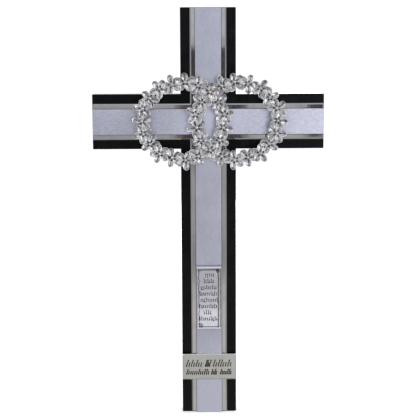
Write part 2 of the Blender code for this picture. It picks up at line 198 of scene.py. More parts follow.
def relief_tablet(name, xs, zs, heights, back):
    """Closed tablet: a front through the grid points, straight sides and a flat back.

    xs and heights are rows of columns, zs one value per row, and heights count forwards from back."""
    rows, columns = xs.shape
    bm = bmesh.new()
    front = [[bm.verts.new((xs[j, i], back - heights[j, i], zs[j])) for i in range(columns)]
             for j in range(rows)]
    for lower, upper in zip(front, front[1:]):
        for i in range(columns - 1):
            bm.faces.new((lower[i], lower[i + 1], upper[i + 1], upper[i]))
    left, right = [row[0] for row in front[:0:-1]], [row[-1] for row in front[:-1]]
    rim = front[0][:-1] + right + front[-1][:0:-1] + left
    behind = [bm.verts.new((vert.co.x, back, vert.co.z)) for vert in rim]
    for this in range(len(rim)):
        after = (this + 1) % len(rim)
        bm.faces.new((rim[after], rim[this], behind[this], behind[after]))
    bm.faces.new(behind[::-1])
    bmesh.ops.recalc_face_normals(bm, faces=bm.faces)
    return mesh_from(bm, name, smooth_angle=35)


def mark_bevel(mesh, front, bevel):
    """Store on each point how far down the bevel it lies: 0 on the front, 1 at the bevel's foot."""
    marks = mesh.attributes.new("bevel", "FLOAT", "POINT")
    downs = [(vert.co.y - front) / (0.4 * bevel) for vert in mesh.vertices]
    marks.data.foreach_set("value", [min(1.0, max(0.0, down)) for down in downs])


class Nodes:
    """A node tree with short ways to add nodes that are already linked."""

    def __init__(self, tree):
        self.tree = tree

    def put(self, socket, value):
        """Link a result to a socket, or set the socket's value; a plain colour gets its alpha."""
        if isinstance(value, bpy.types.NodeSocket):
            self.tree.links.new(value, socket)
        else:
            socket.default_value = (*value, 1.0) if socket.type == "RGBA" else value

    def add(self, kind, inputs=None, **settings):
        """Add a node with its settings and then its inputs, and return its outputs."""
        made = self.tree.nodes.new(kind)
        for key, value in settings.items():
            setattr(made, key, value)
        for key, value in (inputs or {}).items():
            self.put(made.inputs[key], value)
        return made.outputs

    def maths(self, operation, first, second=0.0, third=0.0):
        return self.add("ShaderNodeMath", {0: first, 1: second, 2: third}, operation=operation)[0]

    def times(self, first, second, added=0.0):
        return self.maths("MULTIPLY_ADD", first, second, added)

    def minus(self, first, second):
        return self.maths("SUBTRACT", first, second)

    def most(self, first, second):
        return self.maths("MAXIMUM", first, second)

    def absolute(self, value):
        return self.maths("ABSOLUTE", value)

    def ranged(self, value, low, high, to_low=0.0, to_high=1.0):
        """to_low at low, to_high at high and an easy curve between."""
        inputs = {"Value": value, "From Min": low, "From Max": high, "To Min": to_low, "To Max": to_high}
        return self.add("ShaderNodeMapRange", inputs, interpolation_type="SMOOTHSTEP")[0]

    def between(self, share, low, high):
        """low where the share is 0, high where it is 1 and straight between."""
        return self.add("ShaderNodeMapRange", {"Value": share, "To Min": low, "To Max": high})[0]

    def mixed(self, factor, first, second):
        """Colour between two colours."""
        return self.add("ShaderNodeMix", {0: factor, 6: first, 7: second}, data_type="RGBA")[2]

    def noise(self, vector, scale, detail=4.0, roughness=0.5):
        inputs = {"Vector": vector, "Scale": scale, "Detail": detail, "Roughness": roughness}
        return self.add("ShaderNodeTexNoise", inputs)[0]

    def mapped(self, vector, **changes):
        """Vector moved, turned or scaled."""
        return self.add("ShaderNodeMapping", {"Vector": vector, **changes})[0]

    def parts(self, vector):
        return self.add("ShaderNodeSeparateXYZ", {0: vector})

    def vector(self, x, y, z):
        return self.add("ShaderNodeCombineXYZ", {0: x, 1: y, 2: z})[0]

    def group(self, name, at, **inputs):
        """Shared shader group, read at the given coordinates with its own values."""
        values = {key.replace("_", " "): value for key, value in inputs.items()}
        return self.add("ShaderNodeGroup", {"Vector": at, **values}, node_tree=shared_tree(name))

    def value_of(self, name):
        """One of the mesh's own values, for a shader."""
        return self.add("ShaderNodeAttribute", attribute_name=name)["Fac"]

    def read(self, name, kind):
        """One of the mesh's own values, for a geometry tree."""
        return self.add("GeometryNodeInputNamedAttribute", {"Name": name}, data_type=kind)[0]

    def stored(self, geometry, name, value):
        """Geometry with a value stored on each point."""
        inputs = {"Geometry": geometry, "Name": name, "Value": value}
        return self.add("GeometryNodeStoreNamedAttribute", inputs, data_type="FLOAT", domain="POINT")[0]


class Finish(Nodes):
    """Nodes of a new material, with its shader's inputs and its piece's Object coordinates."""

    def __init__(self, name, metallic=1.0):
        self.material = bpy.data.materials.new(name)
        self.material.use_nodes = True
        super().__init__(self.material.node_tree)
        self.shader = self.tree.nodes["Principled BSDF"].inputs
        self.feed(Metallic=metallic)
        self.at = self.add("ShaderNodeTexCoord")["Object"]

    def feed(self, **values):
        """Link or set the shader's inputs."""
        for key, value in values.items():
            self.put(self.shader[key.replace("_", " ")], value)

    def bump(self, height, strength, distance):
        """Feed a height to the shader's normal."""
        inputs = {"Height": height, "Strength": strength, "Distance": distance}
        self.feed(Normal=self.add("ShaderNodeBump", inputs)[0])


def shared_tree(name):
    """Node group that several pieces share, made when it is first asked for."""
    makers = {"brushed_grain": grain_group, "handling_wear": wear_group, "antique_tarnish": tarnish_group,
              "engraved_strokes": engraving_tree}
    return bpy.data.node_groups.get(name) or makers[name]()


def shader_group(name, inputs, outputs):
    """Shader group with a Vector, inputs with their defaults, and outputs, of which Color is a colour."""
    tree = bpy.data.node_groups.new(name, "ShaderNodeTree")
    tree.interface.new_socket("Vector", in_out="INPUT", socket_type="NodeSocketVector")
    for socket, default in inputs.items():
        kind = "NodeSocketFloat" if isinstance(default, float) else "NodeSocketColor"
        tree.interface.new_socket(socket, in_out="INPUT", socket_type=kind).default_value = default
    for socket in outputs:
        kind = "NodeSocketColor" if socket == "Color" else "NodeSocketFloat"
        tree.interface.new_socket(socket, in_out="OUTPUT", socket_type=kind)
    nodes = Nodes(tree)
    return nodes, nodes.add("NodeGroupInput"), tree.nodes.new("NodeGroupOutput").inputs


def grain_group():
    """Fine brushed lines along Z and soft cloudy patches."""
    nodes, given, wanted = shader_group(
        "brushed_grain", {"Across": 9000.0, "Along": 300.0, "Cloud Scale": 45.0}, ("Lines", "Cloud"))
    at = given["Vector"]
    scale = nodes.vector(given["Across"], given["Across"], given["Along"])
    nodes.put(wanted["Lines"], nodes.noise(nodes.mapped(at, Scale=scale), 1.0, 3.0))
    nodes.put(wanted["Cloud"], nodes.noise(at, given["Cloud Scale"], 5.0, 0.55))
    return nodes.tree


def wear_group():
    """Smudges, dust specks and hair scratches of a handled surface."""
    nodes, given, wanted = shader_group(
        "handling_wear", {"Smudge Scale": 60.0, "Scratch Scale": 300.0}, ("Smudge", "Scratch", "Speck"))
    at = given["Vector"]
    smudge = nodes.noise(at, given["Smudge Scale"], 6.0, 0.6)
    nodes.put(wanted["Smudge"], nodes.ranged(smudge, 0.42, 0.72))
    drawn_out = nodes.mapped(at, Rotation=(0.0, 0.6, 0.0), Scale=(1.0, 1.0, 0.04))
    scratch = nodes.noise(drawn_out, given["Scratch Scale"], 2.0)
    nodes.put(wanted["Scratch"], nodes.ranged(nodes.absolute(nodes.minus(scratch, 0.5)), 0.012, 0.002))
    speck = nodes.add("ShaderNodeTexVoronoi", {"Vector": at, "Scale": 420.0})["Distance"]
    nodes.put(wanted["Speck"], nodes.ranged(speck, 0.10, 0.04))
    return nodes.tree


def tarnish_group():
    """Antiqued metal: bright where it stands proud, dark where polish doesn't reach."""
    nodes, given, wanted = shader_group("antique_tarnish", {
        "Recess": 0.0, "Bright": (0.8, 0.8, 0.8, 1.0), "Dark": (0.08, 0.08, 0.06, 1.0), "Patch Scale": 260.0,
        "Spread": 0.35}, ("Color", "Roughness", "Height"))
    patch = nodes.noise(given["Vector"], given["Patch Scale"], 5.0, 0.6)
    mask = nodes.ranged(nodes.times(nodes.minus(patch, 0.5), given["Spread"], given["Recess"]), 0.15, 0.85)
    nodes.put(wanted["Color"], nodes.mixed(mask, given["Bright"], given["Dark"]))
    nodes.put(wanted["Roughness"], nodes.between(mask, 0.33, 0.55))
    nodes.put(wanted["Height"], nodes.noise(given["Vector"], 900.0, 4.0, 0.6))
    return nodes.tree


def shaded(colour, factor):
    """Colour made darker or brighter."""
    return [min(1.0, value * factor) for value in colour]


def black_lacquer(colours):
    """Satin black lacquer over wood: faint orange peel, dust specks and rubbed patches."""
    made = Finish("black_lacquer_finish", metallic=0.0)
    wear = made.group("handling_wear", made.at, Smudge_Scale=38.0, Scratch_Scale=260.0)
    pale = [value * 2.0 + 0.0015 for value in colours.lacquer]
    dusty = made.times(wear["Speck"], 0.5, made.times(wear["Smudge"], 0.35))
    made.feed(Base_Color=made.mixed(dusty, colours.lacquer, pale), Specular_IOR_Level=0.135,
              Roughness=made.between(wear["Smudge"], 0.22, 0.34))
    made.bump(made.minus(made.noise(made.at, 520.0, 2.0), wear["Scratch"]), 0.10, 0.0004)
    return made.material


def mirror_metal(colours):
    """Mirror-polished sheet metal, slightly wavy, with painted shade along its lip and a painted shadow line
    beside the satin cross.
    """
    made = Finish("mirror_metal_finish")
    wear = made.group("handling_wear", made.at, Smudge_Scale=70.0, Scratch_Scale=420.0)
    metal = made.mixed(wear["Smudge"], colours.mirror, shaded(colours.mirror, 0.90))
    x, y, z = made.parts(made.at)
    # Painted shade: the lip's bevel is darkened a little, standing in for its dimmer reflection
    lip = made.ranged(y, PLATE_FRONT + 0.05 * MM, PLATE_FRONT + 0.30 * MM, 0.0, 0.10)
    beside = made.minus(made.absolute(x), PANEL_HALF_W)
    above = made.minus(made.absolute(z), PANEL_HALF_H)
    # Painted shadow: a dark line on the plate beside the satin cross, where the cross's raised edge shades
    # it
    seam = made.ranged(made.maths("MINIMUM", beside, above), 0.30 * MM, 0.65 * MM, 0.75, 0.0)
    made.feed(Base_Color=made.mixed(made.most(lip, seam), metal, colours.seam),
              Roughness=made.between(wear["Smudge"], 0.04, 0.09))
    waves = made.noise(made.at, 14.0, 0.0)
    made.bump(made.times(wear["Scratch"], -0.006, waves), 0.30, 0.0010)
    return made.material


def satin_metal(colours):
    """Satin lavender-grey sheet metal with brushed lines, with painted light brightening its foot, arms and
    crossing.
    """
    made = Finish("satin_metal_finish")
    grain = made.group("brushed_grain", made.at, Across=5200.0, Along=900.0, Cloud_Scale=48.0)
    streaks = made.group("brushed_grain", made.at, Across=700.0, Along=220.0)
    laid = made.mapped(made.at, Rotation=(0.0, QUARTER, 0.0))
    arm_streaks = made.group("brushed_grain", laid, Across=600.0, Along=260.0)
    wear = made.group("handling_wear", made.at, Smudge_Scale=24.0, Scratch_Scale=500.0)
    x, _, z = made.parts(made.at)
    on_arm = made.ranged(made.absolute(x), PANEL_HALF_W, 1.5 * PANEL_HALF_W)
    fine = made.times(grain["Lines"], 0.35, made.times(grain["Cloud"], 0.25))
    upright_tone = made.times(made.minus(streaks["Lines"], 0.5), 0.25, fine)
    arm_tone = made.times(made.minus(arm_streaks["Lines"], 0.5), 1.05, fine)
    tone = made.ranged(made.between(on_arm, upright_tone, arm_tone), 0.12, 0.48)
    metal = made.mixed(tone, shaded(colours.satin, 0.85), shaded(colours.satin, 1.12))
    # Painted light: a brighter copy of the satin colour near the crossing, towards the foot and on the arms,
    # standing in for light falling there
    away = made.add("ShaderNodeVectorMath", {0: made.at}, operation="LENGTH")["Value"]
    painted_light_crossing = made.times(made.ranged(away, 0.060, 0.018), 0.8)
    painted_light_foot = made.times(made.ranged(z, PANEL_FOOT + 90 * MM, PANEL_FOOT + 25 * MM), 0.5)
    painted_light = made.most(painted_light_crossing, made.most(painted_light_foot, made.times(on_arm, 0.28)))
    made.feed(Base_Color=made.mixed(painted_light, metal, shaded(colours.satin, 1.36)),
              Roughness=made.between(wear["Smudge"], 0.40, 0.47))
    made.bump(made.times(wear["Scratch"], -0.3, grain["Lines"]), 0.16, 0.00012)
    return made.material


def antique_silver(colours):
    """Antiqued cast silver of the wreath, dark where its points are marked as recess."""
    made = Finish("antique_silver_flowers")
    tarnish = made.group("antique_tarnish", made.at, Recess=made.value_of("recess"), Bright=colours.silver,
                         Dark=colours.tarnish, Spread=0.80, Patch_Scale=480.0)
    made.feed(Base_Color=tarnish["Color"], Roughness=tarnish["Roughness"])
    made.bump(tarnish["Height"], 0.30, 0.00010)
    return made.material


def plaque_silver(colours, front, foot):
    """Cast satin silver: dark in the grooves and strokes, polished on the crests, with painted shade towards
    the head and painted light towards the foot.
    """
    made = Finish("antique_silver_plaque")
    x, y, z = made.parts(made.at)
    # Painted shade and light: the field is darker towards the head and a brighter colour towards the foot,
    # as the light falls on it
    head = made.ranged(z, foot + 30 * MM, foot + 48 * MM)
    plain = made.mixed(head, colours.plaque, shaded(colours.plaque, 0.82))
    foot_painted_light = made.ranged(z, foot + 25 * MM, foot + 16 * MM)
    field = made.mixed(foot_painted_light, plain, colours.plaque_painted_light)
    crest = made.ranged(y, front - 0.30 * MM, front - 0.75 * MM)
    ink = made.ranged(made.value_of("ink"), 0.02, 0.35)
    groove = made.ranged(y, front + 0.10 * MM, front + 0.40 * MM)
    at_side = made.ranged(made.absolute(x), 7.2 * MM, 8.0 * MM, 0.72, 1.0)
    tarnish = made.group("antique_tarnish", made.at, Recess=made.most(ink, made.times(groove, at_side)),
                         Bright=made.mixed(crest, field, colours.plaque_crest), Dark=colours.plaque_dark,
                         Spread=0.30)
    made.feed(Base_Color=tarnish["Color"], Metallic=made.times(ink, -0.9, 1.0),
              Roughness=made.times(tarnish["Roughness"], 0.7, 0.16))
    made.bump(tarnish["Height"], 0.25, 0.00010)
    return made.material


def engraved_metal(colours):
    """Warm grey satin plate with brushed lines and black-filled engraving."""
    made = Finish("engraved_metal_finish")
    laid = made.mapped(made.at, Rotation=(0.0, QUARTER, 0.0))
    grain = made.group("brushed_grain", laid, Across=7000.0, Along=260.0, Cloud_Scale=60.0)
    wear = made.group("handling_wear", made.at, Smudge_Scale=55.0, Scratch_Scale=400.0)
    ink = made.ranged(made.value_of("ink"), 0.02, 0.50)
    tone = made.ranged(made.times(grain["Lines"], 0.5, made.times(grain["Cloud"], 0.5)), 0.34, 0.66)
    field = made.mixed(tone, shaded(colours.plate, 0.84), colours.plate)
    metal = made.mixed(made.value_of("bevel"), field, colours.plate_bevel)
    made.feed(Base_Color=made.mixed(ink, metal, colours.engraving), Metallic=made.minus(1.0, ink),
              Roughness=made.times(ink, 0.2, made.between(wear["Smudge"], 0.34, 0.44)))
    made.bump(made.times(wear["Scratch"], -0.3, grain["Lines"]), 0.15, 0.00010)
    return made.material


def dress_node(name, material):
    """Give a carried-over CAD node its finish."""
    for slot in frame["nodes"][name].material_slots:
        slot.material = material


def shape_tree(name, numbers, **others):
    """Geometry node tree with a geometry, the named numbers and others, and a material as its inputs."""
    tree = bpy.data.node_groups.new(name, "GeometryNodeTree")
    kinds = {"Geometry": "Geometry", **others, **dict.fromkeys(numbers, "Float"), "Material": "Material"}
    for socket, kind in kinds.items():
        tree.interface.new_socket(socket, in_out="INPUT", socket_type="NodeSocket" + kind)
    tree.interface.new_socket("Geometry", in_out="OUTPUT", socket_type="NodeSocketGeometry")
    nodes = Nodes(tree)
    return nodes, nodes.add("NodeGroupInput"), tree.nodes.new("NodeGroupOutput").inputs


def end_tree(nodes, geometry, given, wanted):
    """Realize Instances, Set Material and the output."""
    real = nodes.add("GeometryNodeRealizeInstances", {0: geometry})[0]
    made = nodes.add("GeometryNodeSetMaterial", {"Geometry": real, "Material": given["Material"]})[0]
    nodes.put(wanted["Geometry"], made)
    return nodes.tree


def run_tree(obj, tree, **values):
    """Put the tree on the object as a modifier and set its inputs by their identifiers."""
    modifier = obj.modifiers.new(tree.name, "NODES")
    modifier.node_group = tree
    for item in tree.interface.items_tree:
        key = item.name.lower().replace(" ", "_")
        if item.in_out == "INPUT" and key in values:
            modifier[item.identifier] = values[key]


def wreath_tree():
    """Flowers on their points, and the two oval rings that carry them."""
    nodes, given, wanted = shape_tree("flower_wreath_rings", (
        "Ring Offset", "Ring Shift", "Ring Rise", "Ring Half Width", "Ring Half Height", "Ring Back",
        "Ring Step", "Tube Radius", "Tube Recess"), Flowers="Collection")
    kinds = nodes.add("GeometryNodeCollectionInfo", {
        "Collection": given["Flowers"], "Separate Children": True, "Reset Children": True})[0]
    join = nodes.tree.nodes.new("GeometryNodeJoinGeometry")
    nodes.put(join.inputs[0], nodes.add("GeometryNodeInstanceOnPoints", {
        "Points": given["Geometry"], "Instance": kinds, "Pick Instance": True,
        "Instance Index": nodes.read("kind", "INT"), "Rotation": nodes.read("facing", "QUATERNION")})[0])
    profile = nodes.add("GeometryNodeCurvePrimitiveCircle", {
        "Resolution": 12, "Radius": given["Tube Radius"]})[0]
    scale = nodes.vector(given["Ring Half Width"], given["Ring Half Height"], 1.0)
    for side in (-1, 1):
        x = nodes.times(given["Ring Offset"], float(side), given["Ring Shift"])
        y = nodes.times(given["Ring Step"], (side + 1) / 2, given["Ring Back"])
        place = nodes.vector(x, y, given["Ring Rise"])
        circle = nodes.add("GeometryNodeCurvePrimitiveCircle", {"Resolution": 96, "Radius": 1.0})[0]
        oval = nodes.add("GeometryNodeTransform", {"Geometry": circle, "Scale": scale})[0]
        path = nodes.add("GeometryNodeTransform", {
            "Geometry": oval, "Translation": place, "Rotation": (QUARTER, 0.0, 0.0)})[0]
        tube = nodes.add("GeometryNodeCurveToMesh", {"Curve": path, "Profile Curve": profile})[0]
        smooth = nodes.add("GeometryNodeSetShadeSmooth", {"Geometry": tube})[0]
        nodes.put(join.inputs[0], nodes.stored(smooth, "recess", given["Tube Recess"]))
    return end_tree(nodes, join.outputs[0], given, wanted)


def engraving_tree():
    """Grooves in the front of a tablet along the edges of another object, kept as the value ink."""
    numbers = ("Stroke Width", "Depth", "Softness")
    nodes, given, wanted = shape_tree("engraved_strokes", numbers, Strokes="Object")
    strokes = nodes.add("GeometryNodeObjectInfo", {"Object": given["Strokes"]})["Geometry"]
    near = nodes.add("GeometryNodeProximity", {0: strokes}, target_element="EDGES")["Distance"]
    half = nodes.times(given["Stroke Width"], 0.5)
    outside = nodes.maths("ADD", half, given["Softness"])
    ink = nodes.ranged(near, nodes.minus(half, given["Softness"]), outside, 1.0, 0.0)
    marked = nodes.stored(given["Geometry"], "ink", ink)
    offset = nodes.vector(0.0, nodes.times(nodes.read("ink", "FLOAT"), given["Depth"]), 0.0)
    moved = nodes.add("GeometryNodeSetPosition", {"Geometry": marked, "Offset": offset})[0]
    return end_tree(nodes, moved, given, wanted)


def skin_rings(bm, rings):
    """Faces between neighbouring rings of points, of which the first and the last are a single pole."""
    for near, far in zip(rings, rings[1:]):
        count = max(len(near), len(far))
        for this in range(count):
            after = (this + 1) % count
            if len(near) == 1:
                bm.faces.new((near[0], far[this], far[after]))
            elif len(far) == 1:
                bm.faces.new((near[this], far[0], near[after]))
            else:
                bm.faces.new((near[this], far[this], far[after], near[after]))


def petal_recess(x, y, over, in_cup, vein):
    """Recess value of a petal's point: dark at the flower's middle, in the vein and on the sides."""
    middle_radius, middle_dark, cup_dark, vein_dark, side_dark = 3.6 * MM, 1.25, 0.45, 0.28, 0.88
    middle = max(0.0, 1.0 - math.hypot(x, y) / middle_radius)
    shade = cup_dark + vein_dark * vein if in_cup else side_dark if over < -0.3 else 0.0
    return min(1.0, middle_dark * middle + shade)


def add_petal(bm, recess, turn, reach, rise, width, twist, phase):
    """One cupped petal with a thick rolled lip and a faint crease, its foot under the bead."""
    outer, inner = reach - PETAL_MIDDLE, PETAL_MIDDLE - PETAL_FOOT
    own_turn = Matrix.Rotation(turn, 3, "Z") @ Matrix.Rotation(twist, 3, "X")
    rings = []
    for share, over in PETAL_SECTION:
        ring = []
        for side in range(PETAL_SIDES if share else 1):
            angle = TURN * side / PETAL_SIDES
            forward = math.cos(angle)
            x = PETAL_MIDDLE + share * forward * (outer if forward > 0 else inner)
            y = share * math.sin(angle) * width * (1.0 + 0.06 * math.sin(3 * angle + phase))
            lift = 0.30 + 0.62 * (1 + forward) / 2 + 0.07 * math.sin(2 * angle + phase)
            z = rise * (0.22 * (1 - share ** 2) + lift * share ** 2) + over * MM
            vein = math.exp(-(y / PETAL_CREASE_WIDTH) ** 2)
            in_cup = over >= 0 and share < 0.8
            if in_cup:
                z -= PETAL_CREASE_DEPTH * vein
            vert = bm.verts.new(own_turn @ Vector((x, y, z)))
            vert[recess] = petal_recess(x, y, over, in_cup, vein)
            ring.append(vert)
        rings.append(ring)
    skin_rings(bm, rings)


def add_turned(bm, recess, profile, steps):
    """Turned body round Z through a profile's radii, heights and recess values, pole to pole."""
    rings = []
    for radius, height, dark in profile:
        ring = []
        for step in range(steps if radius else 1):
            angle = TURN * step / steps
            vert = bm.verts.new((radius * MM * math.cos(angle), radius * MM * math.sin(angle), height * MM))
            vert[recess] = dark
            ring.append(vert)
        rings.append(ring)
    skin_rings(bm, rings)


def flower_kind(name, sizes, rng):
    """Five petals round a bead on a stem, facing +Z."""
    vary = sizes.petal_vary
    reaches = [sizes.flower_radius * rng.uniform(0.93, 1.03) for _ in range(sizes.petals)]
    rises = [sizes.petal_rise * rng.uniform(1 - vary, 1 + vary) for _ in range(sizes.petals)]
    bm = bmesh.new()
    recess = bm.verts.layers.float.new("recess")
    shape = random.Random(name)
    for petal, (reach, rise) in enumerate(zip(reaches, rises)):
        turn = TURN * petal / sizes.petals + shape.uniform(-0.09, 0.09)
        width = PETAL_HALF_W * shape.uniform(0.88, 1.08)
        twist = math.radians(shape.uniform(-16, 16))
        phase = 1.3 * petal + shape.uniform(0, 2)
        add_petal(bm, recess, turn, reach, rise + PETAL_LIFT, width, twist, phase)
    add_turned(bm, recess, BEAD_PROFILE, steps=14)
    add_turned(bm, recess, STEM_PROFILE, steps=12)
    bmesh.ops.recalc_face_normals(bm, faces=bm.faces)
    return bpy.data.objects.new(name, mesh_from(bm, name, smooth_angle=80))


def flower_places(sizes):
    """For each flower its X and Z, the direction out of its ring, its lift and its lean's sign."""
    crossing = math.acos(sizes.ring_offset / sizes.ring_half_width)
    arcs = ((crossing, TURN - 2 * crossing, sizes.outer_flowers),
            (-crossing, 2 * crossing, sizes.inner_flowers))
    angles = [start + span * step / (count + 1)
              for start, span, count in arcs for step in range(1, count + 1)]
    places = []
    for side in (-1, 1):
        for count, angle in enumerate(angles):
            out = Vector((-side * math.cos(angle), 0.0, math.sin(angle)))
            sway = 1 if count % 2 else -1
            half_width = sizes.ring_half_width + sway * sizes.stagger
            half_height = sizes.ring_half_height + sway * sizes.stagger
            x = sizes.ring_shift + side * sizes.ring_offset + out.x * half_width
            z = sizes.ring_rise + out.z * half_height
            places.append((x, z, out, (sway + 1) / 2 * sizes.overlap_lift, sway))
    for end in (-1, 1):
        z = sizes.ring_rise + end * sizes.ring_half_height * math.sin(crossing)
        places.append((sizes.ring_shift, z, Vector((0.0, 0.0, end)), sizes.crossing_lift, end))
    return places


def flower_points(sizes, rng):
    """Points that carry each flower's place, facing and kind."""
    places = flower_places(sizes)
    mesh = bpy.data.meshes.new("flower_points")
    face_front = Matrix.Rotation(QUARTER, 4, "X")
    forward = ORNAMENT_BACK - sizes.tube_width - sizes.flower_stand
    mesh.from_pydata([(x, forward - lift, z) for x, z, _, lift, _ in places], [], [])
    mesh.attributes.new("facing", "QUATERNION", "POINT")
    mesh.attributes.new("kind", "INT", "POINT")
    facing, kind = mesh.attributes["facing"], mesh.attributes["kind"]
    for count, (_, _, out, _, sway) in enumerate(places):
        along = math.atan2(out.z, out.x) + rng.uniform(-sizes.flower_turn, sizes.flower_turn)
        lean_axis = Vector((out.z, 0.0, -out.x)) * sway
        lean = Matrix.Rotation(rng.uniform(0, sizes.flower_tilt), 4, lean_axis)
        turned = lean @ face_front @ Matrix.Rotation(along, 4, "Z")
        facing.data[count].value = turned.to_quaternion()
        kind.data[count].value = count % sizes.kinds
    return mesh


def verse_edges(zs, half_width, tear_z):
    """Left and right edge of the verse plaque at each height, a little wavy, with its torn notch."""
    tear_depth, tear_half_height = 1.15 * MM, 1.3 * MM
    left_wave, right_wave = [np.abs(waver(place, 0.0, zs * 160)) * 0.16 * MM for place in (3.1, 8.7)]
    notch = tear_depth * np.clip(1.0 - np.abs(zs - tear_z) / tear_half_height, 0.0, 1.0)
    return -half_width + left_wave + notch, half_width - right_wave


def spiral_distance(x, z, start):
    """Distance from each point to a flat spiral that winds in round the origin."""
    nearest = np.full(x.shape, 1.0)
    for share in np.arange(CURL_STEPS) / (CURL_STEPS - 1):
        angle = start - CURL_TURNS * TURN * share
        r = CURL_RADIUS * (1.0 - 0.82 * share)
        nearest = np.minimum(nearest, np.hypot(x - r * math.cos(angle), z - r * math.sin(angle)))
    return nearest


def verse_heights(xs, zs, left, right, foot, head, sizes):
    """Height of the verse plaque's front over its back at each grid point."""
    z = np.repeat(zs[:, None], xs.shape[1], axis=1)
    from_left, from_right = xs - left[:, None], right[:, None] - xs
    height = sizes.field_height + 0.07 * MM * waver(xs * 210, 0.0, z * 210)
    height = height + 0.03 * MM * waver(xs * 900, 5.0, z * 900)
    ripple = waver(4.4, 1.0, zs * 330)[:, None] * 0.42 * MM
    # Crests and grooves along the sides: distance, then middle line, half width and height in mm
    mouldings = ((from_left, 0.60, 0.75, 0.45), (from_left + ripple, 1.65, 0.45, -0.50),
                 (from_right, 1.55, 0.75, 0.45), (from_right + ripple, 2.65, 0.45, -0.50),
                 (from_right, 0.72, 0.42, -0.40))
    for distance, middle, half_width, raised in mouldings:
        height = height + raised * MM * half_round(distance, middle * MM, half_width * MM)
    inside = (from_left > 1.2 * MM) & (from_right > 1.4 * MM)
    half_across = (from_left + from_right) / 2
    arch = 1.7 * MM * np.abs((from_left - from_right) / 2 / half_across) ** 5
    under_head = half_round(head - z - arch, sizes.head_roll + 0.50 * MM, 0.50 * MM)
    over_foot = half_round(z - foot, sizes.foot_roll + 0.30 * MM, 0.45 * MM)
    height = height - 0.50 * MM * under_head * inside - 0.45 * MM * over_foot * inside
    curls = ((VERSE[1].x - 3.4 * MM, head - sizes.head_roll - 1.5 * MM, QUARTER),
             (VERSE[0].x + 3.6 * MM, foot + sizes.foot_roll + 1.3 * MM, math.radians(270)))
    for centre_x, centre_z, start in curls:
        beside, above = xs - centre_x, z - centre_z
        line = np.exp(-(spiral_distance(beside, above, start) / (0.30 * MM)) ** 2)
        disc = smooth_step(1.0 - (np.hypot(beside, above) - CURL_RADIUS) / (0.7 * MM))
        height = height - 0.50 * MM * disc + 0.85 * MM * line
    edge = np.maximum(np.minimum(from_left, from_right), 0.0)
    height = np.minimum(height, sizes.field_height * 0.75 + 1.9 * np.sqrt(edge * 0.3 * MM))
    return np.clip(height, 0.5 * MM, 2.6 * MM)


def rolled_edge(bm, half_length, centre_z, radius, back, up):
    """Edge of the scroll wound forwards into a roll along X, its coil open at both ends."""
    wall, gap, turns, steps, stations = 0.30 * radius, 0.10 * radius, 1.45, 40, 22
    outer, inner = [], []
    for step in range(steps + 1):
        share = step / steps
        angle = turns * TURN * share
        r = radius - (wall + gap) * turns * share
        along = Vector((math.cos(angle), up * math.sin(angle)))
        outer.append(along * r)
        inner.append(along * (r - wall))
    outline = outer + inner[::-1]
    sections = []
    for station in range(stations + 1):
        x = half_length * (2 * station / stations - 1)
        swell = 1.0 - 0.035 * abs(waver(x * 130, 2.0, centre_z * 50))
        sections.append([bm.verts.new((x, back - radius + point.x * swell, centre_z + point.y * swell))
                         for point in outline])
    count = len(outline)
    for near, far in zip(sections, sections[1:]):
        for step in range(count):
            after = (step + 1) % count
            bm.faces.new((near[step], near[after], far[after], far[step]))
    for section in (sections[0][::-1], sections[-1]):
        for step in range(steps):
            mirror = count - 1 - step
            bm.faces.new((section[step], section[step + 1], section[mirror - 1], section[mirror]))


def verse_blank(sizes):
    """Scroll-shaped tablet with its rolled head and foot, before its strokes are cut."""
    low, high = VERSE
    half_width = (high.x - low.x) / 2 - 0.3 * MM
    foot, head, back = low.z, high.z, high.y
    rows, columns = round((head - foot) / sizes.grid), round(2 * half_width / sizes.grid)
    zs = np.linspace(foot + sizes.foot_roll * 0.3, head - sizes.head_roll * 0.3, rows)
    left, right = verse_edges(zs, half_width, head - sizes.tear_drop)
    xs = left[:, None] + (right - left)[:, None] * np.linspace(0.0, 1.0, columns)[None, :]
    heights = verse_heights(xs, zs, left, right, foot, head, sizes)
    bm = bmesh.new()
    for roll, centre_z, up in ((sizes.head_roll, head - sizes.head_roll / 2, 1),
                               (sizes.foot_roll, foot + sizes.foot_roll / 2, -1)):
        rolled_edge(bm, high.x, centre_z, roll / 2, back, up)
    bmesh.ops.recalc_face_normals(bm, faces=bm.faces)
    rolls = mesh_from(bm, "verse_rolls", smooth_angle=50)
    both = bmesh.new()
    both.from_mesh(relief_tablet("verse_tablet", xs, zs, heights, back))
    both.from_mesh(rolls)
    return place_data("verse_plaque_blank", mesh_from(both, "verse_plaque_blank"))


def name_blank(sizes):
    """Bevelled plate before its strokes are cut."""
    low, high = NAME
    across, up = [np.concatenate(([start], np.linspace(start + sizes.bevel, end - sizes.bevel,
                                                       round((end - start) / sizes.grid)), [end]))
                  for start, end in ((low.x, high.x), (low.z, high.z))]
    xs = np.repeat(across[None, :], len(up), axis=0)
    edge = np.minimum(np.minimum(xs - low.x, high.x - xs), np.minimum(up - low.z, high.z - up)[:, None])
    heights = high.y - low.y - sizes.bevel + np.minimum(edge, sizes.bevel)
    blank = place_data("name_plate_blank", relief_tablet("name_plate_blank", xs, up, heights, high.y))
    mark_bevel(blank.data, low.y, sizes.bevel)
    return blank


def verse_strokes(sizes, head, rng):
    """Eight rows of upright strokes with small slanted ends."""
    tall_share, tail_share, tail, tip = 0.22, 0.12, 0.7 * MM, 0.3 * MM
    strokes = []
    for row, (start, end) in enumerate(VERSE_ROWS):
        base = head - sizes.row_drop - row * sizes.row_pitch
        count = max(2, round((end - start) * MM / sizes.stroke_pitch))
        for step in range(count + 1):
            x = (start + (end - start) * step / count) * MM
            top = base + sizes.stroke_height * (1.5 if rng.random() < tall_share else 1.0)
            foot = base - (tail if rng.random() < tail_share else 0.0)
            tick = rng.choice((0.25, 0.45, 0.75)) * MM
            strokes.append(((x - tip, top - tip), (x, top), (x, foot), (x + tick, foot + 0.15 * MM)))
    return strokes


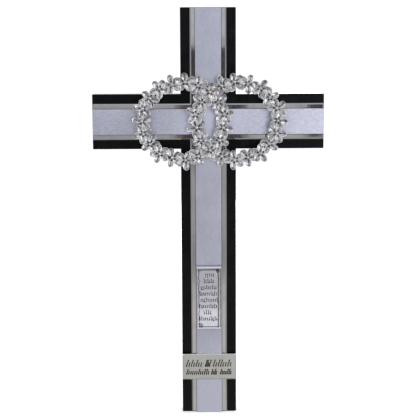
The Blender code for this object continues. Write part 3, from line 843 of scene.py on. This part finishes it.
def name_strokes(sizes, middle_z, rng):
    """Two rows of slanted strokes in groups, tall at each group's start and here and there."""
    tall_share, low_height, hook = 0.2, 0.56, 0.55 * MM
    lean = math.tan(sizes.slant)
    strokes = []
    for groups, base, tall in NAME_ROWS:
        low = middle_z + base * MM
        for start, end in groups:
            count = max(3, round((end - start) / (0.42 * tall)))
            for step in range(count + 1):
                x = (start + (end - start - tall * lean) * step / count) * MM
                high = tall * MM * (1.0 if step == 0 or rng.random() < tall_share else low_height)
                top = x + high * lean
                strokes.append(((top - hook * 0.9, low + high - hook * 0.35), (top, low + high),
                                (x + hook * lean, low + hook), (x + hook * 0.45, low),
                                (x + hook * 1.3, low + hook * 0.45)))
    return strokes


def engraved(blank, strokes, front, name, material, sizes, softness):
    """The blank with its strokes cut into the front, as a plain mesh object."""
    verts, edges = [], []
    for points in strokes:
        first = len(verts)
        verts += [(x, front, z) for x, z in points]
        edges += [(first + step, first + step + 1) for step in range(len(points) - 1)]
    mesh = bpy.data.meshes.new(name + "_lines")
    mesh.from_pydata(verts, edges, [])
    lines = place_data(mesh.name, mesh)
    run_tree(blank, shared_tree("engraved_strokes"), strokes=lines, stroke_width=sizes.stroke_width,
             depth=sizes.stroke_depth, softness=softness, material=material)
    made = solid_copy(blank, name)
    bpy.data.objects.remove(lines)
    return made


def studio_world(stage):
    """Soft room: white to the eye, in bands in front of the cross, bright and dappled at its sides."""
    world = bpy.data.worlds.new("studio")
    bpy.context.scene.world = world
    world.use_nodes = True
    room = Nodes(world.node_tree)
    direction = room.add("ShaderNodeTexCoord")["Generated"]
    x, y, z = room.parts(direction)
    moved = room.mapped(direction, Location=(3.1, 0.0, 0.0))
    dapple = room.times(room.ranged(room.noise(moved, 2.6, 1.0), 0.50, 0.58), -0.85, 1.0)
    square_on = room.most(room.absolute(x), room.absolute(z))
    depth = room.ranged(square_on, 0.92, 0.985, dapple, 0.55)
    side = room.times(room.ranged(z, 0.30, 0.75), stage.ceiling_light, stage.side_light)
    ahead = room.ranged(x, -0.24, 0.24, stage.front_left_light, stage.front_right_light)
    # Heights between which each change of the room's brightness in front of the cross sets in
    bands = ((-0.01, 0.03, stage.high_light), (-0.08, -0.11, -stage.middle_dip),
             (-0.155, -0.190, -stage.dark_band), (-0.190, -0.222, stage.dark_band + stage.middle_dip),
             (-0.205, -0.225, stage.low_light), (-0.315, -0.400, stage.foot_light))
    for start, end, added in bands:
        ahead = room.times(room.ranged(z, start, end), added, ahead)
    shaped = room.between(room.ranged(y, -0.80, -0.97), room.times(side, depth), ahead)
    seen = room.add("ShaderNodeLightPath")["Is Camera Ray"]
    tint = room.mixed(room.ranged(z, -0.30, 0.10), (1.0, 0.985, 0.965), (0.93, 0.975, 1.05))
    eye_strength = 1.05
    background = room.tree.nodes["Background"].inputs
    room.put(background["Color"], room.mixed(seen, tint, WHITE))
    room.put(background["Strength"], room.times(seen, room.minus(eye_strength, shaped), shaped))


def soft_light(name, place, size, power):
    """Square soft light turned to the middle of the cross."""
    data = bpy.data.lights.new(name, "AREA")
    data.size = size
    data.energy = power
    facing = (LIGHT_TARGET - Vector(place)).to_track_quat("-Z", "Y").to_matrix().to_4x4()
    place_data(name, data).matrix_world = Matrix.Translation(place) @ facing


def dark_flag(name, low, high, y, shade):
    """Dark card beside the camera, seen only in reflections."""
    corners = [(low[0], y, low[1]), (high[0], y, low[1]), (high[0], y, high[1]), (low[0], y, high[1])]
    mesh = bpy.data.meshes.new(name)
    mesh.from_pydata(corners, [], [(3, 2, 1, 0)])
    card = place_data(name, mesh)
    cloth = Finish(name + "_cloth", metallic=0.0)
    weave = cloth.noise(cloth.at, 40.0)
    cloth.feed(Base_Color=cloth.mixed(weave, shaded(shade, 0.7), shaded(shade, 1.3)), Roughness=0.9)
    mesh.materials.append(cloth.material)
    card.visible_camera = False
    card.visible_diffuse = False
    card.visible_shadow = False


def pale_floor(stage):
    """Wide pale floor under the foot of the cross."""
    bm = bmesh.new()
    bmesh.ops.create_circle(bm, cap_ends=True, segments=96, radius=stage.floor_radius)
    bmesh.ops.translate(bm, verts=bm.verts, vec=(0.0, 0.0, cad_low.z - stage.floor_gap))
    floor = place_data("pale_floor", mesh_from(bm, "pale_floor"))
    paper = Finish("pale_floor_paper", metallic=0.0)
    tone = paper.noise(paper.at, 3.0)
    paper.feed(Base_Color=paper.mixed(tone, stage.floor_colour, shaded(stage.floor_colour, 0.98)),
               Roughness=0.8, Emission_Color=WHITE, Emission_Strength=stage.floor_glow)
    floor.data.materials.append(paper.material)
    floor.visible_glossy = False


def photo_camera(stage):
    """Camera at the photograph's viewing angle."""
    pitch, yaw, roll = stage.camera_pitch, stage.camera_yaw, stage.camera_roll
    forward = Vector((math.sin(yaw) * math.cos(pitch), math.cos(yaw) * math.cos(pitch), math.sin(pitch)))
    level = Vector((math.cos(yaw), -math.sin(yaw), 0.0))
    over = level.cross(forward)
    right = math.cos(roll) * level + math.sin(roll) * over
    up = math.cos(roll) * over - math.sin(roll) * level
    data = bpy.data.cameras.new("camera")
    data.sensor_width = 36.0
    data.lens = stage.lens
    camera = place_data("camera", data)
    turn = Matrix((right, up, -forward)).transposed().to_4x4()
    camera.matrix_world = Matrix.Translation(stage.camera_place) @ turn
    bpy.context.scene.camera = camera


def number(name, description, default, **more):
    return FloatProperty(name=name, description=description, default=default, **more)


def whole(name, description, default):
    return IntProperty(name=name, description=description, default=default)


def length(name, description, default):
    return number(name, description, default, unit="LENGTH", precision=5)


def angle_of(name, description, degrees):
    return number(name, description, math.radians(degrees), subtype="ANGLE")


def power(name, description, default):
    return number(name, description, default, subtype="POWER")


def colour(name, description, default):
    return FloatVectorProperty(name=name, description=description, default=default, size=3, min=0.0, max=1.0,
                               subtype="COLOR")


class CrossFinishes(bpy.types.PropertyGroup):
    lacquer: colour("Lacquer", "Black lacquer of the board", (0.0008, 0.0010, 0.0013))
    mirror: colour("Mirror metal", "Mirror-polished cross under the satin one", (0.62, 0.605, 0.60))
    # Painted shadow line beside the satin cross and painted shade on the plate's lip
    seam: colour("Seam", "Shadow line beside the satin cross and painted lip shade", (0.05, 0.045, 0.045))
    satin: colour("Satin metal", "Satin cross on top", (0.467, 0.475, 0.564))
    silver: colour("Silver", "Polished parts of the wreath", (0.80, 0.79, 0.805))
    tarnish: colour("Tarnish", "Recesses of the wreath", (0.045, 0.043, 0.043))
    plate: colour("Name plate", "Satin metal of the name plate", (0.575, 0.563, 0.528))
    plate_bevel: colour("Name plate bevel", "Polished bevel of the name plate", (0.93, 0.92, 0.90))
    plaque: colour("Plaque", "Field of the verse plaque", (0.63, 0.62, 0.67))
    # Painted light: brighter field towards the verse plaque's foot
    plaque_painted_light: colour("Plaque foot", "Painted light on the field towards the verse plaque's foot", (0.78, 0.78, 0.84))
    plaque_crest: colour("Plaque crests", "Polished crests of the verse plaque", (0.72, 0.715, 0.76))
    plaque_dark: colour("Plaque hollows", "Grooves and strokes of the verse plaque", (0.075, 0.070, 0.078))
    engraving: colour("Engraving", "Fill of the engraved strokes", (0.012, 0.011, 0.011))


class CrossWreathSizes(bpy.types.PropertyGroup):
    ring_offset: length("Ring offset", "Each ring's centre from the wreath's middle", 0.0260)
    ring_shift: length("Ring shift", "Wreath's middle to the right of the upright's centre line", 0.0015)
    ring_rise: length("Ring rise", "Rings' centres above the crossbar's centre line", 0.0010)
    ring_half_width: length("Ring half width", "Ring centre to its tube, sideways", 0.0399)
    ring_half_height: length("Ring half height", "Ring centre to its tube, upwards", 0.0370)
    ring_step: length("Ring step", "How far the right ring passes in front of the left one", 0.0003)
    tube_width: length("Tube width", "Thickness of the ring under the flowers", 0.0038)
    stagger: length("Stagger", "Flowers sit in turn inside and outside the ring's line by this much", 0.0007)
    flower_stand: length("Flower stand", "Flower's middle in front of the ring's tube", 0.0009)
    overlap_lift: length("Overlap lift", "Every second flower stands this much further forward", 0.0008)
    crossing_lift: length("Crossing lift", "Extra height of the flowers where the rings cross", 0.0012)
    flower_radius: length("Flower radius", "Middle of a flower to its petals' tips", 0.0099)
    petal_rise: length("Petal rise", "Petal's rim in front of the flower's middle", 0.0024)
    petal_vary: number("Petal variation", "Share by which petals' rims differ", 0.3)
    flower_tilt: angle_of("Flower tilt", "Most that a flower leans in or out", 17.0)
    flower_turn: angle_of("Flower turn", "Most that a flower's outward petal turns aside", 16.0)
    outer_flowers: whole("Outer flowers", "On each ring's open part", 13)
    inner_flowers: whole("Inner flowers", "On each ring inside the other", 4)
    petals: whole("Petals", "Petals of each flower", 5)
    kinds: whole("Flower kinds", "Differently shaped flowers in turn", 3)
    seed: whole("Seed", "Seed of the flowers' small differences", 14)


class CrossVerseSizes(bpy.types.PropertyGroup):
    head_roll: length("Head roll", "Diameter of the rolled head", 0.0034)
    foot_roll: length("Foot roll", "Diameter of the rolled foot", 0.0026)
    tear_drop: length("Tear", "Torn notch below the head", 0.0150)
    field_height: length("Field", "Thickness of the writing field", 0.0015)
    row_drop: length("First row", "First row's baseline below the head", 0.0105)
    row_pitch: length("Row pitch", "Distance between rows", 0.0063)
    stroke_pitch: length("Stroke pitch", "Distance between strokes", 0.0018)
    stroke_height: length("Stroke height", "Height of a short stroke", 0.0023)
    stroke_width: length("Stroke width", "Width of a stroke", 0.00078)
    stroke_depth: length("Stroke depth", "Depth of a stroke", 0.00022)
    grid: length("Grid", "Fineness of the cast surface", 0.00022)
    seed: whole("Seed", "Seed of the strokes' heights", 4)


class CrossNameSizes(bpy.types.PropertyGroup):
    bevel: length("Bevel", "Width of the bright bevel round the plate", 0.0008)
    slant: angle_of("Slant", "Lean of the strokes", 20.0)
    stroke_width: length("Stroke width", "Width of a stroke", 0.00100)
    stroke_depth: length("Stroke depth", "Depth of a stroke", 0.0003)
    grid: length("Grid", "Fineness of the engraved surface", 0.00018)
    seed: whole("Seed", "Seed of the strokes' heights", 7)


class CrossStageSettings(bpy.types.PropertyGroup):
    camera_place: FloatVectorProperty(name="Camera", description="Camera's place", size=3,
                                      subtype="TRANSLATION", default=(-0.0166, -1.0805, 0.0690))
    camera_pitch: angle_of("Pitch", "Camera's tilt, up from level", -8.203)
    camera_yaw: angle_of("Yaw", "Camera's turn to the right", 0.858)
    camera_roll: angle_of("Roll", "Camera's roll", -0.237)
    lens: number("Lens", "Focal length in mm on a 36 mm sensor", 95.18)
    floor_radius: length("Floor radius", "Radius of the floor", 4.0)
    floor_gap: length("Floor gap", "Foot of the cross above the floor", 0.0002)
    floor_glow: number("Floor glow", "Keeps the paper white in the shade", 0.35)
    floor_colour: colour("Floor", "Colour of the floor", (0.98, 0.98, 0.98))
    front_left_light: number("Front left", "Room's brightness before the left arm", 0.43)
    front_right_light: number("Front right", "Room's brightness before the right arm", 0.58)
    low_light: number("Front low", "Added brightness before the foot", 0.15)
    foot_light: number("Front lowest", "Added brightness below the foot", 0.85)
    middle_dip: number("Middle dip", "Darkening of the room opposite the long arm", 0.055)
    dark_band: number("Dark band", "Darkening of the room opposite the plaque", 0.10)
    high_light: number("Front high", "Added brightness before the top", 0.16)
    side_light: number("Sides", "Room's brightness at the sides", 0.85)
    ceiling_light: number("Ceiling", "Added brightness overhead", 0.30)
    key_power: power("Key", "Main light, from the right", 11.5)
    fill_power: power("Fill", "Fill light, from the left", 4.5)
    back_power: power("Back", "Light behind, on the board's back", 14.0)


class CrossSettings(bpy.types.PropertyGroup):
    finishes: PointerProperty(type=CrossFinishes)
    wreath: PointerProperty(type=CrossWreathSizes)
    verse: PointerProperty(type=CrossVerseSizes)
    name_plate: PointerProperty(type=CrossNameSizes)
    stage: PointerProperty(type=CrossStageSettings)


def settings():
    return bpy.context.scene.wedding_cross


class CROSS_OT_stage(bpy.types.Operator):
    """Make the floor, the soft light and the camera"""
    bl_idname = "cross.stage"
    bl_label = "Stage"

    def execute(self, context):
        stage = settings().stage
        context.scene.view_settings.view_transform = "Standard"
        studio_world(stage)
        pale_floor(stage)
        for name, flag in FLAGS.items():
            dark_flag(name, *flag)
        soft_light("key_light", *KEY_LIGHT, stage.key_power)
        soft_light("fill_light", *FILL_LIGHT, stage.fill_power)
        soft_light("back_light", *BACK_LIGHT, stage.back_power)
        photo_camera(stage)
        return {"FINISHED"}


class CROSS_OT_board(bpy.types.Operator):
    """Lacquer the backing board black"""
    bl_idname = "cross.board"
    bl_label = "Backing board"

    def execute(self, context):
        dress_node("backing_board", black_lacquer(settings().finishes))
        return {"FINISHED"}


class CROSS_OT_metal_crosses(bpy.types.Operator):
    """Finish the polished plate and the satin panel"""
    bl_idname = "cross.metal_crosses"
    bl_label = "Metal crosses"

    def execute(self, context):
        dress_node("polished_plate", mirror_metal(settings().finishes))
        dress_node("satin_panel", satin_metal(settings().finishes))
        return {"FINISHED"}


class CROSS_OT_wreath(bpy.types.Operator):
    """Cast the two linked rings of flowers"""
    bl_idname = "cross.wreath"
    bl_label = "Flower wreath"

    def execute(self, context):
        sizes = settings().wreath
        rng = random.Random(sizes.seed)
        bed = bpy.data.collections.new("flower_kinds")
        for kind in range(sizes.kinds):
            bed.objects.link(flower_kind(f"flower_kind_{kind}", sizes, rng))
        points = place_data("flower_points", flower_points(sizes, rng))
        radius = sizes.tube_width / 2
        same = ("ring_offset", "ring_shift", "ring_rise", "ring_half_width", "ring_half_height")
        run_tree(points, wreath_tree(), **{key: getattr(sizes, key) for key in same}, flowers=bed,
                 ring_back=ORNAMENT_BACK - radius, ring_step=-sizes.ring_step, tube_radius=radius,
                 tube_recess=0.7, material=antique_silver(settings().finishes))
        wreath = solid_copy(points, "flower_wreath_cast")
        for kind in list(bed.objects):
            bpy.data.objects.remove(kind)
        bpy.data.collections.remove(bed)
        settle(wreath, "flower_wreath")
        return {"FINISHED"}


class CROSS_OT_verse_plaque(bpy.types.Operator):
    """Cast the scroll-shaped verse plaque"""
    bl_idname = "cross.verse_plaque"
    bl_label = "Verse plaque"

    def execute(self, context):
        sizes = settings().verse
        foot, head = VERSE[0].z, VERSE[1].z
        front = ORNAMENT_BACK - sizes.field_height
        strokes = verse_strokes(sizes, head, random.Random(sizes.seed))
        silver = plaque_silver(settings().finishes, front, foot)
        plaque = engraved(verse_blank(sizes), strokes, front, "verse_plaque_cast", silver, sizes,
                          softness=0.16 * MM)
        settle(plaque, "verse_plaque")
        return {"FINISHED"}


class CROSS_OT_name_plate(bpy.types.Operator):
    """Engrave the name plate"""
    bl_idname = "cross.name_plate"
    bl_label = "Name plate"

    def execute(self, context):
        sizes = settings().name_plate
        low, high = NAME
        strokes = name_strokes(sizes, (low.z + high.z) / 2, random.Random(sizes.seed))
        metal = engraved_metal(settings().finishes)
        plate = engraved(name_blank(sizes), strokes, low.y, "name_plate_engraved", metal, sizes,
                         softness=0.12 * MM)
        settle(plate, "name_plate")
        return {"FINISHED"}


class CROSS_PT_panel(bpy.types.Panel):
    """Lists the pieces of the wedding cross"""
    bl_idname = "CROSS_PT_panel"
    bl_label = "Wedding Cross"
    bl_space_type = "VIEW_3D"
    bl_region_type = "UI"
    bl_category = "Cross"

    def draw(self, context):
        for operator in OPERATORS:
            self.layout.operator(operator.bl_idname)


OPERATORS = (CROSS_OT_stage, CROSS_OT_board, CROSS_OT_metal_crosses, CROSS_OT_wreath, CROSS_OT_verse_plaque,
             CROSS_OT_name_plate)
CLASSES = (CrossFinishes, CrossWreathSizes, CrossVerseSizes, CrossNameSizes, CrossStageSettings,
           CrossSettings, *OPERATORS, CROSS_PT_panel)


def register():
    for item in CLASSES:
        bpy.utils.register_class(item)
    bpy.types.Scene.wedding_cross = PointerProperty(type=CrossSettings)


def unregister():
    del bpy.types.Scene.wedding_cross
    for item in reversed(CLASSES):
        bpy.utils.unregister_class(item)


def main():
    register()
    bpy.ops.cross.stage()
    bpy.ops.cross.board()
    bpy.ops.cross.metal_crosses()
    bpy.ops.cross.wreath()
    bpy.ops.cross.verse_plaque()
    bpy.ops.cross.name_plate()


if __name__ == "__main__":
    main()
